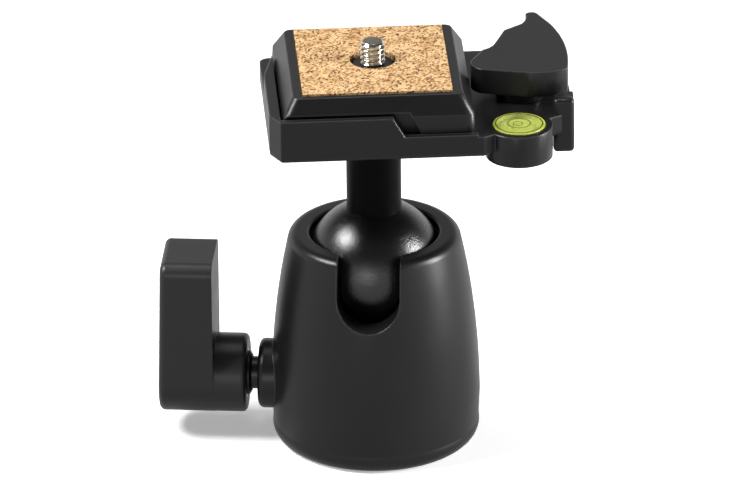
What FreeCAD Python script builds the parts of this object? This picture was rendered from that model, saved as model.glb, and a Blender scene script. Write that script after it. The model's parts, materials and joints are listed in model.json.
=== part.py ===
import FreeCAD, Part
import math
import os

import Sketcher

# Tripod ball head with a quick release clamp. Millimetres.
# The origin is the centre of the base's bottom face. +Z goes up the axis of the housing,
# -Y is the side of the notch, and the lock lever stands on the -X side.

SHEET = "Sizes"

DRIVING_SIZES = {
    # Housing casting
    "housing_height": 56.5,
    "belly_radius": 26.7,
    "belly_height": 12.0,
    "rim_radius": 21.7,
    "rim_round": 2.4,
    "foot_radius": 24.6,
    "foot_height": 4.5,
    "bore_gap": 0.5,
    "opening_gap": 0.4,
    "lip_thickness": 2.3,
    "notch_half_width": 8.0,
    # Ball, stem and seats
    "ball_radius": 17.9,
    "ball_drop": 9.9,
    "stem_radius": 7.0,
    "stem_top": 88.0,
    "spigot_radius": 4.5,
    "spigot_length": 11.0,
    "seat_overlap": 3.0,
    "cup_rim_drop": 9.1,
    "cup_thickness": 2.5,
    # Lock
    "lock_height": 15.3,
    "lock_screw_radius": 4.2,
    "lock_tip_radius": 3.0,
    "lock_tip_length": 4.0,
    "lock_boss_radius": 9.0,
    "lock_boss_face": 29.9,
    "lock_boss_round": 1.5,
    "collar_radius": 5.7,
    "collar_thickness": 1.1,
    "lever_gap": 2.9,
    "lever_boss_radius": 10.2,
    "lever_boss_length": 8.2,
    "handle_thickness": 14.4,
    "handle_corner": 3.2,
    "handle_top": 49.2,
    "handle_taper": 1.1,
    "handle_round": 1.6,
    "insert_radius": 6.4,
    "insert_length": 9.0,
    "wedge_half_width": 7.0,
    "wedge_back": 10.0,
    "wedge_front": 9.0,
    "wedge_middle_top": 19.6,
    "wedge_angle": 20.0,
    "pressure_lap": 1.6,
    # Base plate
    "base_plate_radius": 23.0,
    "base_plate_thickness": 3.5,
    "thread_boss_radius": 9.0,
    "thread_boss_height": 9.4,
    "tripod_thread_radius": 3.97,
    "tripod_thread_depth": 8.2,
    "base_screw_circle": 20.2,
    "base_screw_radius": 1.2,
    "base_screw_head_radius": 2.3,
    "base_screw_length": 9.0,
    # Quick release clamp
    "clamp_turn": 8.0,
    "jaw_thickness": 2.7,
    "clamp_front": 27.0,
    "clamp_back": 26.5,
    "clamp_right": 50.0,
    "clamp_lever_front": 15.0,
    "clamp_floor": 5.6,
    "clamp_corner": 2.6,
    "wall_thickness": 1.7,
    "tall_wall": 11.4,
    "low_wall": 6.2,
    "tall_wall_end": 3.4,
    "wall_slope": 3.0,
    "corner_slope": 5.0,
    "jaw_end": 15.0,
    "level_x": 35.6,
    "level_y": 19.9,
    "level_boss_radius": 8.5,
    "level_boss_depth": 2.7,
    "level_radius": 6.6,
    "level_depth": 4.6,
    "level_wall": 0.5,
    "lug_thickness": 4.6,
    "lug_height": 9.6,
    # Quick release lever
    "pivot_x": 37.5,
    "pivot_y": -1.0,
    "pivot_radius": 2.5,
    "cam_radius": 6.4,
    "cam_height": 3.0,
    "blade_height": 9.3,
    # Camera plate
    "plate_width": 48.4,
    "plate_depth": 48.8,
    "plate_skirt": 5.0,
    "plate_bevel_height": 4.8,
    "plate_bevel_width": 2.8,
    "plate_flare": 0.3,
    "cork_width": 37.8,
    "cork_depth": 40.6,
    "cork_thickness": 1.6,
    "cork_proud": 0.5,
    "cork_hole_radius": 5.8,
    "camera_screw_radius": 3.175,
    "camera_neck_radius": 2.6,
    "camera_screw_reach": 5.2,
    "camera_screw_head_radius": 8.0,
    "camera_screw_head_height": 2.4,
    "clip_radius": 5.0,
    "clip_thickness": 0.8,
    # Clearances
    "running_gap": 0.05,
    "seat_gap": 0.1,
    "ball_gap": 0.1,
    "free_gap": 0.3,
}


class Size:
    """A size of the model: its value and the sheet formula that gives it."""

    def __init__(self, value, formula):
        self.value = float(value)
        self.formula = formula

    def __add__(self, other):
        other = as_size(other)
        return Size(self.value + other.value, f"({self.formula} + {other.formula})")

    def __sub__(self, other):
        other = as_size(other)
        return Size(self.value - other.value, f"({self.formula} - {other.formula})")

    def __mul__(self, other):
        other = as_size(other)
        return Size(self.value * other.value, f"({self.formula} * {other.formula})")

    def __truediv__(self, other):
        other = as_size(other)
        return Size(self.value / other.value, f"({self.formula} / {other.formula})")

    def __neg__(self):
        return Size(-self.value, f"(0 - {self.formula})")

    def __radd__(self, other):
        return as_size(other) + self

    def __rsub__(self, other):
        return as_size(other) - self

    def __rmul__(self, other):
        return as_size(other) * self


def as_size(number):
    """Turn a plain number into a size, and leave a size as it is."""
    if isinstance(number, Size):
        return number
    return Size(number, f"{number:.6f}")


def root(size):
    """Square root of a size."""
    return Size(math.sqrt(size.value), f"sqrt({size.formula})")


def tangent(angle):
    """Tangent of an angle given in degrees."""
    return Size(math.tan(math.radians(angle.value)), f"tan({angle.formula} * 1 deg)")


doc = FreeCAD.newDocument("BallHead")
sheet = doc.addObject("Spreadsheet::Sheet", SHEET)
for row, (name, value) in enumerate(DRIVING_SIZES.items(), start=1):
    sheet.set(f"A{row}", name)
    sheet.set(f"B{row}", str(value))
    sheet.setAlias(f"B{row}", name)
doc.recompute()


def size(name):
    """Read one driving size from the sheet."""
    return Size(float(sheet.get(name)), f"{SHEET}.{name}")


pieces = []


def new_body(label, base=(0, 0, 0), turn=None):
    """Start a sub-part at a place in the assembly, turned about Z when turn is given."""
    body = doc.addObject("PartDesign::Body", label)
    body.Label = label
    place(body, base, turn)
    pieces.append(body)
    return body


def place(item, base, turn=None):
    """Bind the placement of a sub-part to sizes."""
    base = [as_size(value) for value in base]
    angle = as_size(0) if turn is None else turn
    item.Placement = FreeCAD.Placement(
        FreeCAD.Vector(*[value.value for value in base]),
        FreeCAD.Rotation(FreeCAD.Vector(0, 0, 1), angle.value),
    )
    for axis, value in zip("xyz", base):
        item.setExpression(f"Placement.Base.{axis}", value.formula)
    if turn is not None:
        item.setExpression("Placement.Rotation.Angle", turn.formula)


def new_sketch(body, role, name, offset=0):
    """Attach a sketch to one of the body's own origin planes, moved along the plane's normal."""
    sketch = body.newObject("Sketcher::SketchObject", f"{body.Label}_{name}")
    plane = next(item for item in body.Origin.OriginFeatures if item.Role == role)
    sketch.AttachmentSupport = [(plane, "")]
    sketch.MapMode = "FlatFace"
    offset = as_size(offset)
    sketch.AttachmentOffset = FreeCAD.Placement(
        FreeCAD.Vector(0, 0, offset.value), FreeCAD.Rotation()
    )
    sketch.setExpression("AttachmentOffset.Base.z", offset.formula)
    return sketch


def fix_point(sketch, index, position, point):
    """Hold one end of a sketch element at a point that is bound to sizes."""
    for kind, coordinate in zip(("DistanceX", "DistanceY"), point):
        number = sketch.addConstraint(
            Sketcher.Constraint(kind, -1, 1, index, position, coordinate.value)
        )
        sketch.setExpression(f"Constraints[{number}]", coordinate.formula)


def add_circle(sketch, centre, radius):
    """Draw a circle with its centre and radius bound to sizes."""
    centre = [as_size(value) for value in centre]
    radius = as_size(radius)
    middle = FreeCAD.Vector(centre[0].value, centre[1].value, 0)
    circle = Part.Circle(middle, FreeCAD.Vector(0, 0, 1), radius.value)
    index = sketch.addGeometry(circle, False)
    fix_point(sketch, index, 3, centre)
    number = sketch.addConstraint(Sketcher.Constraint("Radius", index, radius.value))
    sketch.setExpression(f"Constraints[{number}]", radius.formula)


def arc_between(start, end, radius, turn):
    """Arc from start to end. It turns left for turn 1 and right for turn -1, under a half circle."""
    chord = end - start
    middle = (start + end) * 0.5
    left = FreeCAD.Vector(-chord.y, chord.x, 0)
    left.normalize()
    rise = math.sqrt(max(radius * radius - chord.Length * chord.Length / 4, 0))
    centre = middle + left * (turn * rise)
    first, last = (start, end) if turn > 0 else (end, start)
    angles = [math.atan2(point.y - centre.y, point.x - centre.x) for point in (first, last)]
    circle = Part.Circle(centre, FreeCAD.Vector(0, 0, 1), radius)
    return Part.ArcOfCircle(circle, angles[0], angles[1])


def add_outline(sketch, start, steps):
    """Draw a closed outline. A step is a corner, or a corner with an arc's radius and turn."""
    points = [start] + [step[:2] for step in steps]
    points = [[as_size(value) for value in point] for point in points]
    ends = [FreeCAD.Vector(point[0].value, point[1].value, 0) for point in points]
    entries = []
    for number, step in enumerate(steps):
        first, last = ends[number], ends[number + 1]
        if len(step) == 2:
            index = sketch.addGeometry(Part.LineSegment(first, last), False)
            entries.append((index, 1, 2))
        else:
            radius = as_size(step[2])
            arc = arc_between(first, last, radius.value, step[3])
            index = sketch.addGeometry(arc, False)
            entries.append((index, 1, 2) if step[3] > 0 else (index, 2, 1))
            rule = sketch.addConstraint(Sketcher.Constraint("Radius", index, radius.value))
            sketch.setExpression(f"Constraints[{rule}]", radius.formula)
    closing = (ends[-1] - ends[0]).Length > 1e-6
    if closing:
        index = sketch.addGeometry(Part.LineSegment(ends[-1], ends[0]), False)
        entries.append((index, 1, 2))
    for number, (index, first, last) in enumerate(entries):
        fix_point(sketch, index, first, points[number])
        following = entries[(number + 1) % len(entries)]
        sketch.addConstraint(Sketcher.Constraint("Coincident", index, last, following[0], following[1]))


def add_rectangle(sketch, low, high):
    """Draw a rectangle between two opposite corners."""
    add_outline(sketch, low, [(high[0], low[1]), high, (low[0], high[1])])


def pad(body, sketch, length, reverse=False, middle=False):
    """Add material along the sketch's normal."""
    length = as_size(length)
    feature = body.newObject("PartDesign::Pad", f"{sketch.Name}_pad")
    feature.Profile = sketch
    feature.Length = length.value
    feature.setExpression("Length", length.formula)
    feature.Reversed = reverse
    feature.Midplane = middle
    doc.recompute()
    return feature


def pocket(body, sketch, length, reverse=False, middle=False):
    """Cut material along the sketch's normal, and make sure that something was cut."""
    length = as_size(length)
    before = body.Shape.Volume
    feature = body.newObject("PartDesign::Pocket", f"{sketch.Name}_pocket")
    feature.Profile = sketch
    feature.Length = length.value
    feature.setExpression("Length", length.formula)
    feature.Reversed = reverse
    feature.Midplane = middle
    doc.recompute()
    if body.Shape.Volume >= before - 1e-6:
        raise ValueError(f"{feature.Label} cuts nothing")
    return feature


def turned(body, sketch, kind="PartDesign::Revolution"):
    """Turn a profile about the vertical sketch axis, to add or to cut material."""
    feature = body.newObject(kind, f"{sketch.Name}_turned")
    feature.Profile = sketch
    feature.ReferenceAxis = (sketch, ["V_Axis"])
    feature.Angle = 360.0
    doc.recompute()
    return feature


def turned_about_x(body, sketch, kind="PartDesign::Revolution"):
    """Turn a profile about the horizontal sketch axis."""
    feature = body.newObject(kind, f"{sketch.Name}_turned")
    feature.Profile = sketch
    feature.ReferenceAxis = (sketch, ["H_Axis"])
    feature.Angle = 360.0
    doc.recompute()
    return feature


def edges_where(shape, test):
    """Names of the edges whose middle point passes the test."""
    names = []
    for number, edge in enumerate(shape.Edges, start=1):
        middle = edge.valueAt((edge.FirstParameter + edge.LastParameter) / 2)
        if test(edge, middle):
            names.append(f"Edge{number}")
    return names


def soften(body, base, test, radius, kind="PartDesign::Fillet"):
    """Round or bevel the edges that pass the test."""
    radius = as_size(radius)
    names = edges_where(base.Shape, test)
    if not names:
        raise ValueError(f"{body.Label} has no edge to soften")
    feature = body.newObject(kind, f"{body.Label}_{kind.split('::')[1].lower()}")
    feature.Base = (base, names)
    prop = "Radius" if kind.endswith("Fillet") else "Size"
    setattr(feature, prop, radius.value)
    feature.setExpression(prop, radius.formula)
    doc.recompute()
    return feature


def near(value, size_value, slack=0.02):
    """Say whether a coordinate lies at a size."""
    return abs(value - as_size(size_value).value) < slack


# Sizes that several pieces share
housing_height = size("housing_height")
ball_radius = size("ball_radius")
bore = ball_radius + size("bore_gap")
ball_height = housing_height - size("ball_drop")
stem_radius = size("stem_radius")
stem_top = size("stem_top")
lock_height = size("lock_height")
running = size("running_gap")
seat_gap = size("seat_gap")
ball_gap = size("ball_gap")
free_gap = size("free_gap")
clamp_turn = size("clamp_turn")
floor = size("clamp_floor")
lip_under = housing_height - size("lip_thickness")
cup_rim = ball_height - size("cup_rim_drop")
cup_bottom = ball_height - ball_radius - ball_gap - size("cup_thickness")
cup_radius = bore - free_gap
lock_hole = size("lock_screw_radius") + running
boss_face = size("lock_boss_face")
lever_face = boss_face + size("lever_gap")
handle_face = lever_face + size("lever_boss_length")
plate_bottom = floor + seat_gap


def sphere_at(radius, height):
    """Radius of a sphere's section at a height above or below its middle."""
    return root(radius * radius - height * height)


def make_housing():
    """Bell casting: belly curve, bore from below, lip over the ball, notch and lock boss."""
    body = new_body("housing")
    sketch = new_sketch(body, "XZ_Plane", "section")
    rise = housing_height - size("belly_height")
    inset = size("belly_radius") - size("rim_radius")
    curve = (rise * rise + inset * inset) / (inset * 2)
    plate_room = size("base_plate_radius") + running
    plate_top = size("base_plate_thickness") + seat_gap
    foot_rise = size("belly_height") - size("foot_height")
    opening = sphere_at(ball_radius, lip_under - ball_height) + size("opening_gap")
    rim_middle = (size("rim_radius").value + opening.value) / 2
    steps = [
        (size("foot_radius"), 0),
        (size("belly_radius") - 0.35, size("foot_height"), 4.0, 1),
        (size("belly_radius"), size("foot_height") + foot_rise),
        (size("rim_radius"), housing_height, curve, 1),
        (opening + 0.4, housing_height),
        (opening, housing_height - 0.4),
        (opening, lip_under),
        (bore, lip_under),
        (bore, plate_top),
        (plate_room, plate_top),
    ]
    add_outline(sketch, (plate_room, 0), steps)
    shell = turned(body, sketch)
    soften(
        body, shell,
        lambda edge, at: near(at.z, housing_height) and math.hypot(at.x, at.y) > rim_middle,
        size("rim_round"),
    )
    boss = new_sketch(body, "YZ_Plane", "boss", -(bore + 0.6))
    add_circle(boss, (0, lock_height), size("lock_boss_radius"))
    boss_pad = pad(body, boss, boss_face - bore - 0.6, reverse=True)
    soften(
        body, boss_pad, lambda edge, at: near(at.x, -boss_face), size("lock_boss_round")
    )
    hole = new_sketch(body, "YZ_Plane", "lock_hole", -(bore - 4))
    add_circle(hole, (0, lock_height), lock_hole)
    pocket(body, hole, boss_face - bore + 6)
    notch = new_sketch(body, "XZ_Plane", "notch")
    half = size("notch_half_width")
    top_of_cut = housing_height + 1
    add_outline(
        notch, (half, ball_height),
        [(half, top_of_cut), (-half, top_of_cut), (-half, ball_height),
         (0, ball_height - half, half, 1), (half, ball_height, half, 1)],
    )
    pocket(body, notch, size("belly_radius") + 2, reverse=True)
    if body.Shape.BoundBox.YMax < 20:
        raise ValueError("the notch was cut on the wrong side")
    screws = new_sketch(body, "XY_Plane", "screw_hole")
    add_circle(screws, (0, size("base_screw_circle")), size("base_screw_radius") + running)
    first = pocket(body, screws, size("base_screw_length") + 1, reverse=True)
    pattern = body.newObject("PartDesign::PolarPattern", "screw_holes")
    pattern.Originals = [first]
    pattern.Axis = (screws, ["N_Axis"])
    pattern.Angle = 360
    pattern.Occurrences = 3
    body.Tip = pattern
    doc.recompute()
    return body


def make_upper_seat():
    """Nylon ring under the lip that holds the ball from above, open at the notch."""
    body = new_body("upper_ball_seat", (0, 0, ball_height))
    sketch = new_sketch(body, "XZ_Plane", "section")
    low = size("seat_overlap")
    high = lip_under - ball_height - 0.02
    inner = ball_radius + ball_gap
    add_outline(
        sketch, (sphere_at(inner, low), low),
        [(bore - 0.02, low), (bore - 0.02, high), (sphere_at(inner, high), high),
         (sphere_at(inner, low), low, inner, -1)],
    )
    turned(body, sketch)
    gap = new_sketch(body, "XZ_Plane", "notch")
    half = size("notch_half_width") + 0.2
    add_rectangle(gap, (-half, low - 1), (half, high + 1))
    pocket(body, gap, bore + 1, reverse=True)
    return body


def make_lower_cup():
    """Nylon bowl that the ball rests in."""
    body = new_body("lower_ball_cup", (0, 0, ball_height))
    sketch = new_sketch(body, "XZ_Plane", "section")
    inner = ball_radius + ball_gap
    rim = -size("cup_rim_drop")
    bottom = cup_bottom - ball_height
    add_outline(
        sketch, (0, bottom),
        [(cup_radius - 1, bottom), (cup_radius, bottom + 1), (cup_radius, rim),
         (sphere_at(inner, rim), rim), (0, -inner, inner, -1)],
    )
    turned(body, sketch)
    return body


def wedge_profile(sketch, low, extra):
    """Side view of the wedge, with the slope shared by the wedge and the pressure cup."""
    slope = tangent(size("wedge_angle"))
    middle = size("wedge_middle_top") + extra
    back = -size("wedge_back") - extra * 4
    front = size("wedge_front") + extra * 4
    add_outline(
        sketch, (back, low),
        [(front, low), (front, middle - slope * front), (back, middle - slope * back)],
    )


def make_wedge():
    """Block that the lock screw pushes and that lifts the pressure cup."""
    body = new_body("wedge_block")
    sketch = new_sketch(body, "XZ_Plane", "section")
    wedge_profile(sketch, size("thread_boss_height") + seat_gap, as_size(0))
    pad(body, sketch, size("wedge_half_width") * 2, middle=True)
    hole = new_sketch(body, "YZ_Plane", "tip_hole", -(size("wedge_back") + 1))
    add_circle(hole, (0, lock_height), size("lock_tip_radius") + running)
    pocket(body, hole, size("lock_tip_length") + 1 + seat_gap, reverse=True)
    return body


def make_pressure_cup():
    """Metal disc under the bowl, with a sloped groove over the wedge."""
    body = new_body("pressure_cup")
    top = cup_bottom - seat_gap
    low = size("wedge_middle_top") - size("pressure_lap")
    sketch = new_sketch(body, "XY_Plane", "disc", low)
    add_circle(sketch, (0, 0), cup_radius)
    pad(body, sketch, top - low)
    groove = new_sketch(body, "XZ_Plane", "groove")
    slope = tangent(size("wedge_angle"))
    middle = size("wedge_middle_top") + seat_gap
    reach = cup_radius + 1
    back_top = middle + slope * (size("wedge_back") + 1)
    add_outline(
        groove, (-reach, low - 6),
        [(reach, low - 6), (reach, middle - slope * reach),
         (-(size("wedge_back") + 1), back_top), (-reach, back_top)],
    )
    pocket(body, groove, (size("wedge_half_width") + free_gap) * 2, middle=True)
    return body


def make_base_plate():
    """Plate that closes the housing and carries the tripod thread."""
    body = new_body("base_plate")
    sketch = new_sketch(body, "XZ_Plane", "section")
    thread = size("tripod_thread_radius")
    depth = size("tripod_thread_depth")
    thick = size("base_plate_thickness")
    plate = size("base_plate_radius")
    add_outline(
        sketch, (thread, 0),
        [(plate, 0), (plate, thick), (size("thread_boss_radius"), thick),
         (size("thread_boss_radius"), size("thread_boss_height")),
         (0, size("thread_boss_height")), (0, depth), (thread, depth)],
    )
    turned(body, sketch)
    circle = size("base_screw_circle")
    shank = size("base_screw_radius") + running
    head = size("base_screw_head_radius") + running
    sink = head - shank
    tool = new_sketch(body, "XY_Plane", "screw_hole_ring")
    add_circle(tool, (0, circle), head)
    first = pocket(body, tool, sink, reverse=True)
    through = new_sketch(body, "XY_Plane", "screw_hole_through")
    add_circle(through, (0, circle), shank)
    second = pocket(body, through, thick + 1, reverse=True)
    pattern = body.newObject("PartDesign::PolarPattern", "plate_screw_holes")
    pattern.Originals = [first, second]
    pattern.Axis = (through, ["N_Axis"])
    pattern.Angle = 360
    pattern.Occurrences = 3
    body.Tip = pattern
    doc.recompute()
    return body


def make_base_screws():
    """Three countersunk screws through the base plate into the housing, in one node."""
    shank = size("base_screw_radius")
    head = size("base_screw_head_radius")
    circle = size("base_screw_circle")
    low = as_size(0.1)
    screws = []
    for number in range(3):
        head_disc = doc.addObject("Part::Cone", f"screw_head_{number}")
        head_disc.setExpression("Radius1", head.formula)
        head_disc.setExpression("Radius2", shank.formula)
        head_disc.setExpression("Height", (head - shank).formula)
        shank_rod = doc.addObject("Part::Cylinder", f"screw_shank_{number}")
        shank_rod.setExpression("Radius", shank.formula)
        shank_rod.setExpression("Height", size("base_screw_length").formula)
        angle = math.radians(90 + 120 * number)
        across = circle * math.cos(angle)
        along = circle * math.sin(angle)
        place(head_disc, (across, along, low))
        place(shank_rod, (across, along, low))
        screw = doc.addObject("Part::Fuse", f"base_screw_{number}")
        screw.Base = head_disc
        screw.Tool = shank_rod
        screws.append(screw)
    group = doc.addObject("Part::Compound", "base_screws")
    group.Label = "base_screws"
    group.Links = screws
    doc.recompute()
    pieces.append(group)


def make_lock_screw():
    """Stud through the lock boss: tip in the wedge, shank in the lever."""
    body = new_body("lock_screw", (0, 0, lock_height))
    sketch = new_sketch(body, "XZ_Plane", "section")
    shank = size("lock_screw_radius")
    tip = size("lock_tip_radius")
    shoulder = size("wedge_back") + free_gap
    end = lever_face + size("insert_length") - 0.5
    add_outline(
        sketch, (-(size("wedge_back") - size("lock_tip_length")), 0),
        [(-(size("wedge_back") - size("lock_tip_length")), tip), (-shoulder, tip),
         (-shoulder, shank), (-end, shank), (-end, 0)],
    )
    turned_about_x(body, sketch)
    return body


def make_lock_collar():
    """Thrust ring on the stud against the lever."""
    body = new_body("lock_collar", (0, 0, lock_height))
    sketch = new_sketch(body, "XZ_Plane", "section")
    inner = size("lock_screw_radius") + running
    outer = size("collar_radius")
    thick = size("collar_thickness")
    add_outline(
        sketch, (-lever_face, inner),
        [(-lever_face, outer), (-(lever_face - thick * 0.5), outer),
         (-(lever_face - thick), outer - 1), (-(lever_face - thick), inner)],
    )
    turned_about_x(body, sketch)
    return body


def make_lever_insert():
    """Threaded metal insert moulded into the lever."""
    body = new_body("lever_insert", (0, 0, lock_height))
    sketch = new_sketch(body, "YZ_Plane", "ring", -(lever_face + seat_gap))
    add_circle(sketch, (0, 0), size("insert_radius"))
    add_circle(sketch, (0, 0), size("lock_screw_radius") + running)
    pad(body, sketch, size("insert_length"), reverse=True)
    return body


def make_lock_lever():
    """Moulded lever: a round boss on the stud and a flat handle that stands upright."""
    body = new_body("lock_lever", (0, 0, lock_height))
    round_end = size("lever_boss_radius")
    top = size("handle_top") - lock_height
    corner = size("handle_corner")
    side = new_sketch(body, "YZ_Plane", "handle", -handle_face)
    add_outline(
        side, (round_end, 0),
        [(round_end, top - corner), (round_end - corner, top, corner, 1),
         (-(round_end - corner), top), (-round_end, top - corner, corner, 1),
         (-round_end, 0), (0, -round_end, round_end, 1), (round_end, 0, round_end, 1)],
    )
    pad(body, side, size("handle_thickness"), reverse=True)
    boss = new_sketch(body, "YZ_Plane", "boss", -(handle_face + 2))
    add_circle(boss, (0, 0), round_end - running)
    pad(body, boss, size("lever_boss_length") + 2)
    outer = handle_face + size("handle_thickness")
    taper = new_sketch(body, "XZ_Plane", "taper")
    add_outline(
        taper, (-outer, -round_end),
        [(-(outer - size("handle_taper")), top + 1), (-(outer + 5), top + 1), (-(outer + 5), -round_end)],
    )
    cut = pocket(body, taper, round_end * 2 + 4, middle=True)
    outer_face = -(outer - size("handle_taper")).value + 0.05
    rounded = soften(
        body, cut,
        lambda edge, at: at.x < outer_face,
        size("handle_round"),
    )
    soften(body, rounded, lambda edge, at: near(at.x, -lever_face), 1.2)
    hole = new_sketch(body, "YZ_Plane", "insert_hole", -(lever_face - 1))
    add_circle(hole, (0, 0), size("insert_radius") + 0.02)
    pocket(body, hole, size("insert_length") + 1 + seat_gap * 2)
    return body


def make_ball():
    """Ball with a flat under the stem and a hole for its spigot."""
    body = new_body("ball", (0, 0, ball_height))
    sketch = new_sketch(body, "XZ_Plane", "section")
    flat = sphere_at(ball_radius, stem_radius)
    spigot = size("spigot_radius") + running
    depth = flat - size("spigot_length") - free_gap
    add_outline(
        sketch, (0, -ball_radius),
        [(ball_radius, 0, ball_radius, 1), (stem_radius, flat, ball_radius, 1),
         (spigot, flat), (spigot, depth), (0, depth)],
    )
    turned(body, sketch)
    return body


def make_stem():
    """Round stem: spigot in the ball and a threaded hole for the clamp screw."""
    body = new_body("stem", (0, 0, ball_height))
    sketch = new_sketch(body, "XZ_Plane", "section")
    flat = sphere_at(ball_radius, stem_radius)
    spigot = size("spigot_radius")
    top = stem_top - ball_height
    screw = as_size(3.0) + running
    add_outline(
        sketch, (0, flat - size("spigot_length")),
        [(spigot, flat - size("spigot_length")), (spigot, flat), (stem_radius, flat),
         (stem_radius, top), (screw, top), (screw, top - 13), (0, top - 13)],
    )
    turned(body, sketch)
    return body


def make_clamp_base():
    """Tray of the clamp: floor, stepped front wall, fixed jaw, level boss and lever lug."""
    body = new_body("clamp_base", (0, 0, stem_top), clamp_turn)
    jaw_in = size("plate_width") / 2 + size("plate_flare") + free_gap
    left = jaw_in + size("jaw_thickness")
    front = size("clamp_front")
    back = size("clamp_back")
    right = size("clamp_right")
    corner = size("clamp_corner")
    slope = size("corner_slope")
    wall = size("wall_thickness")
    lever_front = size("clamp_lever_front")
    outline = new_sketch(body, "XY_Plane", "floor")
    add_outline(
        outline, (-(left - corner), -front),
        [(jaw_in + 1.5, -front), (right - 3, -lever_front), (right, -(lever_front - 3), 3, 1),
         (right, 14), (jaw_in + 6, back), (-(left - corner), back),
         (-left, back - corner, corner, 1), (-left, -(front - slope)),
         (-(left - corner), -front)],
    )
    tray = pad(body, outline, floor)
    soften(body, tray, lambda edge, at: near(at.z, 0), 1.2)
    boss = new_sketch(body, "XY_Plane", "level_boss", -size("level_boss_depth"))
    add_circle(boss, (size("level_x"), -size("level_y")), size("level_boss_radius"))
    pad(body, boss, floor + size("level_boss_depth"))
    front_wall = new_sketch(body, "XZ_Plane", "front_wall", front - wall)
    tall = size("tall_wall")
    low = size("low_wall")
    end = size("tall_wall_end")
    add_outline(
        front_wall, (-(left - corner), floor - 1),
        [(jaw_in, floor - 1), (jaw_in, low), (end + size("wall_slope"), low), (end, tall),
         (-(left - corner), tall)],
    )
    pad(body, front_wall, wall)
    jaw = new_sketch(body, "XY_Plane", "jaw", floor - 1)
    jaw_end = size("jaw_end")
    add_outline(
        jaw, (-left, -(front - slope)),
        [(-(left - corner), -front), (-(left - corner), -(front - wall)), (-jaw_in, -(front - wall)),
         (-jaw_in, jaw_end), (-left, jaw_end - 12)],
    )
    pad(body, jaw, tall - floor + 1)
    lug = new_sketch(body, "XY_Plane", "lug", floor - 1)
    lug_in = right - size("lug_thickness")
    add_outline(
        lug, (lug_in, -(lever_front - 2.2)),
        [(right - 3, -(lever_front - 0.1)), (right, -(lever_front - 3), 3, 1), (right, -9.6),
         (lug_in + 2.2, -9.6), (lug_in, -11.6)],
    )
    pad(body, lug, size("lug_height") - floor + 1)
    vial = new_sketch(body, "XY_Plane", "level_hole", floor)
    add_circle(vial, (size("level_x"), -size("level_y")), size("level_radius") + running)
    pocket(body, vial, size("level_depth"))
    screw = new_sketch(body, "XY_Plane", "clamp_hole")
    add_circle(screw, (0, 0), 3.2)
    pocket(body, screw, floor, reverse=True)
    head = new_sketch(body, "XY_Plane", "clamp_head", floor)
    add_circle(head, (0, 0), 6.2)
    pocket(body, head, floor - 2)
    pivot = new_sketch(body, "XY_Plane", "pivot_hole", floor)
    add_circle(pivot, (size("pivot_x"), size("pivot_y")), size("pivot_radius") + running)
    pocket(body, pivot, floor - 1)
    return body


def make_clamp_screw():
    """Low head screw that holds the clamp to the stem."""
    body = new_body("clamp_screw", (0, 0, stem_top), clamp_turn)
    sketch = new_sketch(body, "XZ_Plane", "section")
    add_outline(
        sketch, (0, -12),
        [(3.0, -12), (3.0, 2.9), (5.2, 2.9), (5.2, floor - 0.6), (4.8, floor - 0.2), (1.5, floor - 0.2),
         (1.5, floor - 1.4), (0, floor - 1.4)],
    )
    turned(body, sketch)
    return body


def make_clamp_washer():
    """Spring washer under the head of the clamp screw."""
    body = new_body("clamp_washer", (0, 0, stem_top), clamp_turn)
    sketch = new_sketch(body, "XY_Plane", "ring", 2.02)
    add_circle(sketch, (0, 0), 5.8)
    add_circle(sketch, (0, 0), 3.15)
    pad(body, sketch, 0.85)
    return body


def make_qr_lever():
    """Fin shaped lever with a cam below it that presses on the plate."""
    base_height = stem_top + floor
    body = new_body("qr_lever", (0, 0, base_height), clamp_turn)
    cam = new_sketch(body, "XY_Plane", "cam", seat_gap)
    pivot = (size("pivot_x"), size("pivot_y"))
    add_circle(cam, pivot, size("cam_radius"))
    pad(body, cam, size("cam_height"))
    blade = new_sketch(body, "XY_Plane", "blade", seat_gap + size("cam_height") - 0.5)
    px, py = pivot
    nose = size("plate_width") / 2 + size("plate_flare") + 0.4
    add_outline(
        blade, (nose, py + 0.5),
        [(nose + 2.2, py - 5.0, 5.0, 1), (px + 1.0, py - 8.0), (px + 11.4, py - 6.0, 12.0, 1),
         (px + 9.3, py + 21.7, 60.0, 1), (px + 6.2, py + 29.0), (px + 3.4, py + 28.6, 1.8, 1),
         (px + 1.9, py + 22.4, 9.0, -1), (px - 2.8, py + 18.7), (px - 5.9, py + 10.4),
         (px - 9.1, py + 7.0, 6.0, -1)],
    )
    pad(body, blade, size("blade_height") - size("cam_height") + 0.5)
    hole = new_sketch(body, "XY_Plane", "pivot_hole", 0)
    add_circle(hole, pivot, size("pivot_radius") + running)
    pocket(body, hole, size("blade_height") - 1.2, reverse=True)
    spring = new_sketch(body, "XY_Plane", "spring_room", 0)
    add_circle(spring, pivot, size("pivot_radius") + 1.8)
    pocket(body, spring, 4.5, reverse=True)
    return body


def make_lever_pivot():
    """Pin that the lever turns on, pressed into the clamp floor."""
    body = new_body("lever_pivot", (0, 0, stem_top), clamp_turn)
    sketch = new_sketch(body, "XY_Plane", "pin", 1.2)
    add_circle(sketch, (size("pivot_x"), size("pivot_y")), size("pivot_radius"))
    pad(body, sketch, floor + size("blade_height") - 1.2 - 1.8)
    return body


def make_lever_spring():
    """Torsion spring round the pivot, as a plain sleeve."""
    body = new_body("lever_spring", (0, 0, stem_top + floor), clamp_turn)
    sketch = new_sketch(body, "XY_Plane", "sleeve", 0.3)
    pivot = (size("pivot_x"), size("pivot_y"))
    add_circle(sketch, pivot, size("pivot_radius") + 1.4)
    add_circle(sketch, pivot, size("pivot_radius") + 0.3)
    pad(body, sketch, 3.8)
    return body


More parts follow.
